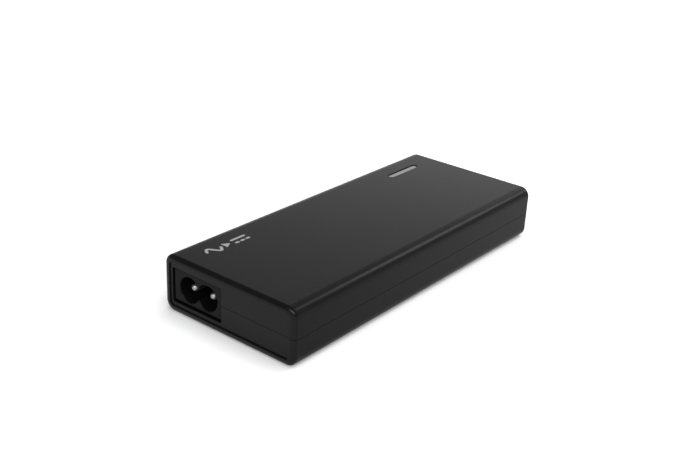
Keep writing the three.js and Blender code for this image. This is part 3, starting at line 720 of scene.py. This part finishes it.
def ribbon(points, width):
    """The outline of a stroke of even width along a run of points, with rounded ends."""
    sides = []
    for i, (x, y) in enumerate(points):
        x0, y0 = points[max(i - 1, 0)]
        x1, y1 = points[min(i + 1, len(points) - 1)]
        sides.append(math.atan2(y1 - y0, x1 - x0) + math.pi / 2)

    def beside(i, turn=0.0):
        x, y = points[i]
        angle = sides[i] + turn
        return (x + width / 2 * math.cos(angle), y + width / 2 * math.sin(angle))

    last = len(points) - 1
    steps = 6
    left = [beside(i) for i in range(last + 1)]
    far_end = [beside(last, -math.pi * k / steps) for k in range(1, steps)]
    right = [beside(i, math.pi) for i in range(last, -1, -1)]
    near_end = [beside(0, math.pi - math.pi * k / steps) for k in range(1, steps)]
    return left + far_end + right + near_end


def ink(outline):
    """A printed patch: an outline in the mark's own frame, laid on the top of the case."""
    loops = []
    for z in (HEIGHT - INK_SUNK, HEIGHT + INK_PROUD):
        loops.append([Vector((MARK_X - v, MARK_Y + u, z)) for u, v in outline])
    return loft("ink", loops)


def wave_outline():
    """One period of a sine wave, at the mark's left end."""
    amplitude = (MARK_HEIGHT - MARK_STROKE) / 2
    start = -MARK_LENGTH / 2 + MARK_STROKE / 2
    steps = 40
    points = []
    for i in range(steps + 1):
        t = i / steps
        points.append((start + WAVE_LENGTH * t, amplitude * math.sin(2 * math.pi * t)))
    return ribbon(points, MARK_STROKE)


def make_mark():
    """A power-conversion pictogram: a wave, an arrowhead, and a bar over three dashes."""
    inset = MARK_STROKE / 2
    right = MARK_LENGTH / 2 - inset
    left = right - BAR_LENGTH
    dash = (BAR_LENGTH - 2 * DASH_GAP) / 3
    outlines = [
        wave_outline(),
        [(-ARROW_LENGTH / 2, ARROW_HALF), (-ARROW_LENGTH / 2, -ARROW_HALF), (ARROW_LENGTH / 2, 0)],
        ribbon([(left, LINE_OFFSET), (right, LINE_OFFSET)], MARK_STROKE),
    ]
    for i in range(3):
        start = left + i * (dash + DASH_GAP)
        outlines.append(ribbon([(start, -LINE_OFFSET), (start + dash, -LINE_OFFSET)], MARK_STROKE))
    first, *rest = [ink(outline) for outline in outlines]
    first.name = "printed_mark"
    return shade(merge(first, *rest))


# ---------------------------------------------------------------------------------------------
# Materials
# ---------------------------------------------------------------------------------------------


class Recipe:
    """A node material round one Principled shader, in object coordinates (metres)."""

    def __init__(self, name, **sockets):
        self.material = bpy.data.materials.new(name)
        self.material.use_nodes = True
        self.tree = self.material.node_tree
        self.shader = self.tree.nodes["Principled BSDF"]
        for socket, value in sockets.items():
            self.shader.inputs[socket.replace("_", " ")].default_value = value
        self.place = self.tree.nodes.new("ShaderNodeTexCoord").outputs["Object"]

    def noise(self, scale, detail=3.0, roughness=0.55):
        node = self.tree.nodes.new("ShaderNodeTexNoise")
        node.inputs["Scale"].default_value = scale
        node.inputs["Detail"].default_value = detail
        node.inputs["Roughness"].default_value = roughness
        self.tree.links.new(self.place, node.inputs["Vector"])
        return node.outputs["Fac"]

    def spread(self, source, low, high, start=0.3, end=0.7):
        node = self.tree.nodes.new("ShaderNodeMapRange")
        node.inputs["From Min"].default_value = start
        node.inputs["From Max"].default_value = end
        node.inputs["To Min"].default_value = low
        node.inputs["To Max"].default_value = high
        self.tree.links.new(source, node.inputs["Value"])
        return node.outputs["Result"]

    def colours(self, source, first, second, start=0.35, end=0.65):
        node = self.tree.nodes.new("ShaderNodeValToRGB")
        node.color_ramp.elements[0].position = start
        node.color_ramp.elements[1].position = end
        node.color_ramp.elements[0].color = (*first, 1)
        node.color_ramp.elements[1].color = (*second, 1)
        self.tree.links.new(source, node.inputs["Fac"])
        self.tree.links.new(node.outputs["Color"], self.shader.inputs["Base Color"])

    def roughness(self, source, low, high):
        self.tree.links.new(self.spread(source, low, high), self.shader.inputs["Roughness"])

    def bump(self, source, distance, strength=1.0):
        node = self.tree.nodes.new("ShaderNodeBump")
        node.inputs["Strength"].default_value = strength
        node.inputs["Distance"].default_value = distance
        previous = self.shader.inputs["Normal"].links
        if previous:
            self.tree.links.new(previous[0].from_socket, node.inputs["Normal"])
        self.tree.links.new(source, node.inputs["Height"])
        self.tree.links.new(node.outputs["Normal"], self.shader.inputs["Normal"])


def grey(value):
    return (value, value, value * 1.03)


def moulded(name, dark, light, rough, grain=0.004 * MM, **sockets):
    """Spark-textured moulded plastic: a fine grain, broad gloss variation and faint mottling."""
    recipe = Recipe(name, **sockets)
    recipe.colours(recipe.noise(140, 4), dark, light)
    recipe.roughness(recipe.noise(90, 5), *rough)
    recipe.bump(recipe.noise(2600, 2), grain)
    recipe.bump(recipe.noise(7500, 1), grain * 0.35)
    return recipe.material


def plated(name, colour, rough):
    recipe = Recipe(name, Metallic=1.0)
    lighter = tuple(min(1, c * 1.08) for c in colour)
    recipe.colours(recipe.noise(900, 3), colour, lighter)
    recipe.roughness(recipe.noise(2500, 3), *rough)
    recipe.bump(recipe.noise(6000, 2), 0.002 * MM)
    return recipe.material


def case_plastic():
    return moulded(
        "case_plastic", grey(0.0038), grey(0.0046), (0.235, 0.275), Specular_IOR_Level=0.26
    )


def inlet_plastic():
    return moulded(
        "inlet_plastic", grey(0.0035), grey(0.0045), (0.22, 0.27), 0.004 * MM, Specular_IOR_Level=0.13
    )


def lens_plastic():
    recipe = Recipe("lens_plastic", Specular_IOR_Level=0.4, Subsurface_Weight=0.15)
    recipe.shader.inputs["Subsurface Radius"].default_value = (0.6 * MM, 0.6 * MM, 0.6 * MM)
    recipe.colours(recipe.noise(500, 3), (0.222, 0.226, 0.23), (0.252, 0.256, 0.26))
    recipe.roughness(recipe.noise(1200, 3), 0.38, 0.5)
    recipe.bump(recipe.noise(5000, 2), 0.004 * MM)
    return recipe.material


def mark_ink():
    recipe = Recipe("mark_ink", Specular_IOR_Level=0.3)
    recipe.colours(recipe.noise(1500, 4), (0.26, 0.26, 0.265), (0.30, 0.30, 0.305))
    recipe.roughness(recipe.noise(1200, 3), 0.5, 0.62)
    recipe.bump(recipe.noise(2600, 2), 0.008 * MM)
    return recipe.material


def label_film():
    recipe = Recipe("label_film", Specular_IOR_Level=0.4)
    recipe.colours(recipe.noise(260, 4), grey(0.02), grey(0.026))
    recipe.roughness(recipe.noise(400, 3), 0.3, 0.4)
    recipe.bump(recipe.noise(3500, 2), 0.003 * MM)
    return recipe.material


def plain(name, first, second, rough, scale=800, grain=0.01 * MM, **sockets):
    """A finish for the parts inside the case: two close colours, varied gloss and a grain."""
    recipe = Recipe(name, **sockets)
    recipe.colours(recipe.noise(scale, 4), first, second)
    recipe.roughness(recipe.noise(scale * 1.7, 3), *rough)
    recipe.bump(recipe.noise(scale * 4, 2), grain)
    return recipe.material


def wound_wire(name, first, second):
    """Rows of enamelled wire: bands across the winding, with a bump for each turn."""
    recipe = Recipe(name, Metallic=0.85)
    wave = recipe.tree.nodes.new("ShaderNodeTexWave")
    wave.inputs["Scale"].default_value = 380
    wave.inputs["Distortion"].default_value = 0.6
    recipe.tree.links.new(recipe.place, wave.inputs["Vector"])
    recipe.colours(wave.outputs["Fac"], first, second, 0.15, 0.75)
    recipe.roughness(recipe.noise(1500, 3), 0.25, 0.38)
    recipe.bump(wave.outputs["Fac"], 0.12 * MM)
    return recipe.material


def fuse_glass():
    recipe = Recipe("fuse_glass", Transmission_Weight=0.95, IOR=1.5)
    recipe.colours(recipe.noise(300, 2), (0.93, 0.97, 0.97), (0.97, 1.0, 1.0))
    recipe.roughness(recipe.noise(600, 2), 0.03, 0.08)
    return recipe.material


def inner_materials():
    """The finish of every slot that belongs to a carried-over CAD node."""
    return {
        "contact_nickel": plated("contact_nickel", (0.60, 0.59, 0.565), (0.4, 0.5)),
        "board_laminate": plain(
            "board_laminate", (0.012, 0.10, 0.035), (0.02, 0.15, 0.055), (0.25, 0.4), 350
        ),
        "fuse_glass": fuse_glass(),
        "ferrite": plain("ferrite", grey(0.045), grey(0.075), (0.55, 0.7), 1500, 0.02 * MM),
        "copper_wire": wound_wire("copper_wire", (0.30, 0.08, 0.025), (0.62, 0.24, 0.09)),
        "winding_tape": plain(
            "winding_tape", (0.62, 0.44, 0.05), (0.74, 0.55, 0.09), (0.3, 0.42), 240
        ),
        "aluminium_sheet": plain(
            "aluminium_sheet", (0.58, 0.59, 0.60), (0.66, 0.67, 0.68), (0.28, 0.42), 900, Metallic=1.0
        ),
        "moulding_compound": plain(
            "moulding_compound", grey(0.016), grey(0.024), (0.5, 0.65), 1800, 0.015 * MM
        ),
        "capacitor_sleeve": plain(
            "capacitor_sleeve", (0.016, 0.022, 0.04), (0.024, 0.034, 0.058), (0.22, 0.34), 200
        ),
        "film_box": plain("film_box", (0.55, 0.36, 0.035), (0.66, 0.45, 0.06), (0.4, 0.5), 500),
        "disc_blue": plain("disc_blue", (0.03, 0.10, 0.33), (0.05, 0.14, 0.42), (0.18, 0.3), 400),
        "disc_green": plain("disc_green", (0.03, 0.10, 0.04), (0.05, 0.14, 0.06), (0.2, 0.32), 400),
        "bobbin_nylon": plain("bobbin_nylon", (0.62, 0.57, 0.45), (0.70, 0.65, 0.53), (0.4, 0.52)),
        "insulation_film": plain(
            "insulation_film", (0.70, 0.66, 0.54), (0.78, 0.74, 0.62), (0.25, 0.36), 150
        ),
        "silicone_pad": plain("silicone_pad", (0.25, 0.30, 0.35), (0.31, 0.36, 0.41), (0.65, 0.8)),
    }


# ---------------------------------------------------------------------------------------------
# Stage and light
# ---------------------------------------------------------------------------------------------

FLOOR_HALF = 2.5
FLOOR_WHITE = 0.87
FLOOR_MIRRORED = 0.19
FLOOR_GLOW = 0.05
MIRRORED_GLOW = ((-80, 0.45), (-58, 0.16), (100, 0.36))  # (y, brightness) as the case mirrors it


def matt(shader, level):
    """Sets a shader to a grey with no gloss."""
    shader.inputs["Base Color"].default_value = (level, level, level, 1)
    shader.inputs["Roughness"].default_value = 1.0
    shader.inputs["Specular IOR Level"].default_value = 0.0


def glow_with_distance(tree, position, seen):
    """Makes the floor brighter further out, so that no grey horizon shows from low down."""
    seen.inputs["Emission Color"].default_value = (1, 1, 1, 1)
    distance = tree.nodes.new("ShaderNodeVectorMath")
    distance.operation = "LENGTH"
    tree.links.new(position, distance.inputs[0])
    spread = tree.nodes.new("ShaderNodeMapRange")
    spread.inputs["From Min"].default_value = HALF_LENGTH * MM
    spread.inputs["From Max"].default_value = 4 * HALF_LENGTH * MM
    spread.inputs["To Min"].default_value = FLOOR_GLOW
    tree.links.new(distance.outputs["Value"], spread.inputs["Value"])
    tree.links.new(spread.outputs["Result"], seen.inputs["Emission Strength"])


def glow_along_case(tree, position, mirrored):
    """Grades the floor along Y, as the end and the side of the case mirror it."""
    mirrored.inputs["Emission Strength"].default_value = 1.0
    split = tree.nodes.new("ShaderNodeSeparateXYZ")
    tree.links.new(position, split.inputs["Vector"])
    along = tree.nodes.new("ShaderNodeMapRange")
    first, last = MIRRORED_GLOW[0][0], MIRRORED_GLOW[-1][0]
    along.inputs["From Min"].default_value = first * MM
    along.inputs["From Max"].default_value = last * MM
    tree.links.new(split.outputs["Y"], along.inputs["Value"])
    ramp = tree.nodes.new("ShaderNodeValToRGB")
    ramp.color_ramp.elements.new(0.5)
    for element, (y, glow) in zip(ramp.color_ramp.elements, MIRRORED_GLOW):
        element.position = (y - first) / (last - first)
        element.color = (glow, glow, glow, 1)
    tree.links.new(along.outputs["Result"], ramp.inputs["Fac"])
    tree.links.new(ramp.outputs["Color"], mirrored.inputs["Emission Color"])


def floor_white():
    """White to the eye, and a graded grey in what the case mirrors."""
    material = bpy.data.materials.new("floor_white")
    material.use_nodes = True
    tree = material.node_tree
    position = tree.nodes.new("ShaderNodeTexCoord").outputs["Object"]
    seen = tree.nodes["Principled BSDF"]
    matt(seen, FLOOR_WHITE)
    glow_with_distance(tree, position, seen)
    mirrored = tree.nodes.new("ShaderNodeBsdfPrincipled")
    matt(mirrored, FLOOR_MIRRORED)
    glow_along_case(tree, position, mirrored)
    mix = tree.nodes.new("ShaderNodeMixShader")
    tree.links.new(tree.nodes.new("ShaderNodeLightPath").outputs["Is Camera Ray"], mix.inputs["Fac"])
    tree.links.new(mirrored.outputs["BSDF"], mix.inputs[1])
    tree.links.new(seen.outputs["BSDF"], mix.inputs[2])
    tree.links.new(mix.outputs["Shader"], tree.nodes["Material Output"].inputs["Surface"])
    return material


def make_floor():
    half = FLOOR_HALF
    floor = new_object(
        "floor", [(-half, -half, 0), (half, -half, 0), (half, half, 0), (-half, half, 0)], [(0, 1, 2, 3)]
    )
    floor.data.materials.append(floor_white())


def make_lamp(name, azimuth, elevation, distance, width, height, radiance, seen_in_gloss=True):
    """A rectangular lamp facing the adapter; azimuth runs from +Y toward +X, in degrees."""
    turn, rise = math.radians(azimuth), math.radians(elevation)
    toward = Vector((
        math.sin(turn) * math.cos(rise), math.cos(turn) * math.cos(rise), math.sin(rise)
    ))
    data = bpy.data.lights.new(name, "AREA")
    data.shape = "RECTANGLE"
    data.size, data.size_y = width, height
    data.energy = radiance * math.pi * width * height
    lamp = bpy.data.objects.new(name, data)
    facing = (-toward).to_track_quat("-Z", "Y").to_matrix().to_4x4()
    lamp.matrix_world = Matrix.Translation(toward * distance) @ facing
    lamp.visible_camera = False
    lamp.visible_glossy = seen_in_gloss
    bpy.context.scene.collection.objects.link(lamp)


HORIZON_LIGHT = 0.2
SKY_LIGHT = 0.14
BACK_LIGHT = 0.27
HORIZON_FADE = (0.03, 0.17)  # heights, on a unit sphere, between which the horizon turns to sky
BACK_FADE = (0.3, 0.8)  # the same along +Y, between which the light behind comes in


def make_world():
    """White to the eye, and dim as a source of light, so that the black case stays black."""
    world = bpy.data.worlds.new("studio")
    world.use_nodes = True
    tree = world.node_tree
    tree.nodes.clear()
    split = tree.nodes.new("ShaderNodeSeparateXYZ")
    tree.links.new(tree.nodes.new("ShaderNodeTexCoord").outputs["Generated"], split.inputs["Vector"])
    fade = tree.nodes.new("ShaderNodeMapRange")
    fade.inputs["From Min"].default_value = HORIZON_FADE[0]
    fade.inputs["From Max"].default_value = HORIZON_FADE[1]
    fade.inputs["To Min"].default_value = HORIZON_LIGHT
    fade.inputs["To Max"].default_value = SKY_LIGHT
    tree.links.new(split.outputs["Z"], fade.inputs["Value"])
    behind = tree.nodes.new("ShaderNodeMapRange")
    behind.inputs["From Min"].default_value = BACK_FADE[0]
    behind.inputs["From Max"].default_value = BACK_FADE[1]
    behind.inputs["To Max"].default_value = BACK_LIGHT
    tree.links.new(split.outputs["Y"], behind.inputs["Value"])
    total = tree.nodes.new("ShaderNodeMath")
    tree.links.new(fade.outputs["Result"], total.inputs[0])
    tree.links.new(behind.outputs["Result"], total.inputs[1])
    dim = tree.nodes.new("ShaderNodeBackground")
    dim.inputs["Color"].default_value = (1, 1, 1, 1)
    tree.links.new(total.outputs["Value"], dim.inputs["Strength"])
    pale = tree.nodes.new("ShaderNodeBackground")
    pale.inputs["Color"].default_value = (1, 1, 1, 1)
    mix = tree.nodes.new("ShaderNodeMixShader")
    tree.links.new(tree.nodes.new("ShaderNodeLightPath").outputs["Is Camera Ray"], mix.inputs["Fac"])
    tree.links.new(dim.outputs["Background"], mix.inputs[1])
    tree.links.new(pale.outputs["Background"], mix.inputs[2])
    output = tree.nodes.new("ShaderNodeOutputWorld")
    tree.links.new(mix.outputs["Shader"], output.inputs["Surface"])
    bpy.context.scene.world = world


def make_lamps():
    """Two cards and a key behind, and a spark in front, give the reflections; two fills give none."""
    make_lamp("back_card", -22, 11.5, 1.5, 1.7, 0.46, 0.63)
    make_lamp("back_glow", -3, 30, 1.5, 0.64, 0.37, 0.5)
    make_lamp("key", 25, 35, 1.5, 0.38, 0.52, 2.1)
    make_lamp("spark", 158, 33, 1.5, 1.45, 0.48, 4.5)
    make_lamp("fill", 40, 76, 1.6, 1.6, 1.6, 3.0, seen_in_gloss=False)
    make_lamp("side_fill", 120, 35, 1.5, 1.2, 0.8, 3.0, seen_in_gloss=False)


# ---------------------------------------------------------------------------------------------
# Assembly
# ---------------------------------------------------------------------------------------------


def place_case(plastic):
    place(make_top_shell(), plastic, "case_plastic", "top_shell")
    place(make_bottom_shell(), plastic, "case_plastic", "bottom_shell")
    place(make_label(), label_film(), "label_film", "rating_label")
    place(make_mark(), mark_ink(), "mark_ink")


def place_sockets(nickel):
    plastic = inlet_plastic()
    place(make_inlet(), plastic, "inlet_plastic", "inlet_housing")
    place(make_output(), plastic, "inlet_plastic", "output_socket_housing")
    for node, side in (("inlet_pin_line", -1), ("inlet_pin_neutral", 1)):
        back_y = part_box(node)[1].y
        pin = make_pin(
            node + "_contact",
            INLET_X + side * PIN_PITCH / 2,
            INLET_Z,
            PIN_RADIUS,
            HALF_LENGTH - PIN_TIP_SETBACK,
            -back_y / MM,
            -1,
        )
        place(pin, nickel, "contact_nickel", node)
    low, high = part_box("output_socket_pin")
    pin = make_pin(
        "output_socket_centre_pin",
        OUTPUT_X,
        OUTPUT["z"],
        OUTPUT_PIN_RADIUS,
        high.y / MM,
        low.y / MM,
        1,
    )
    place(pin, nickel, "contact_nickel", "output_socket_pin")


def finish_inner_nodes(finishes):
    """Every CAD node that still shows takes its slot's finish."""
    for entry in frame["record"]["subparts"]:
        node = frame["nodes"][entry["node"]]
        if not node.hide_render and entry["material_slot"] in finishes:
            node.data.materials.clear()
            node.data.materials.append(finishes[entry["material_slot"]])


make_camera()
finishes = inner_materials()
lens_finish = lens_plastic()
place_case(case_plastic())
place_sockets(finishes["contact_nickel"])
place(make_lens(), lens_finish, "lens_plastic", "indicator_lens")
finishes["lens_plastic"] = lens_finish
finish_inner_nodes(finishes)
make_floor()
make_world()
make_lamps()
bpy.context.scene.view_settings.view_transform = "Standard"
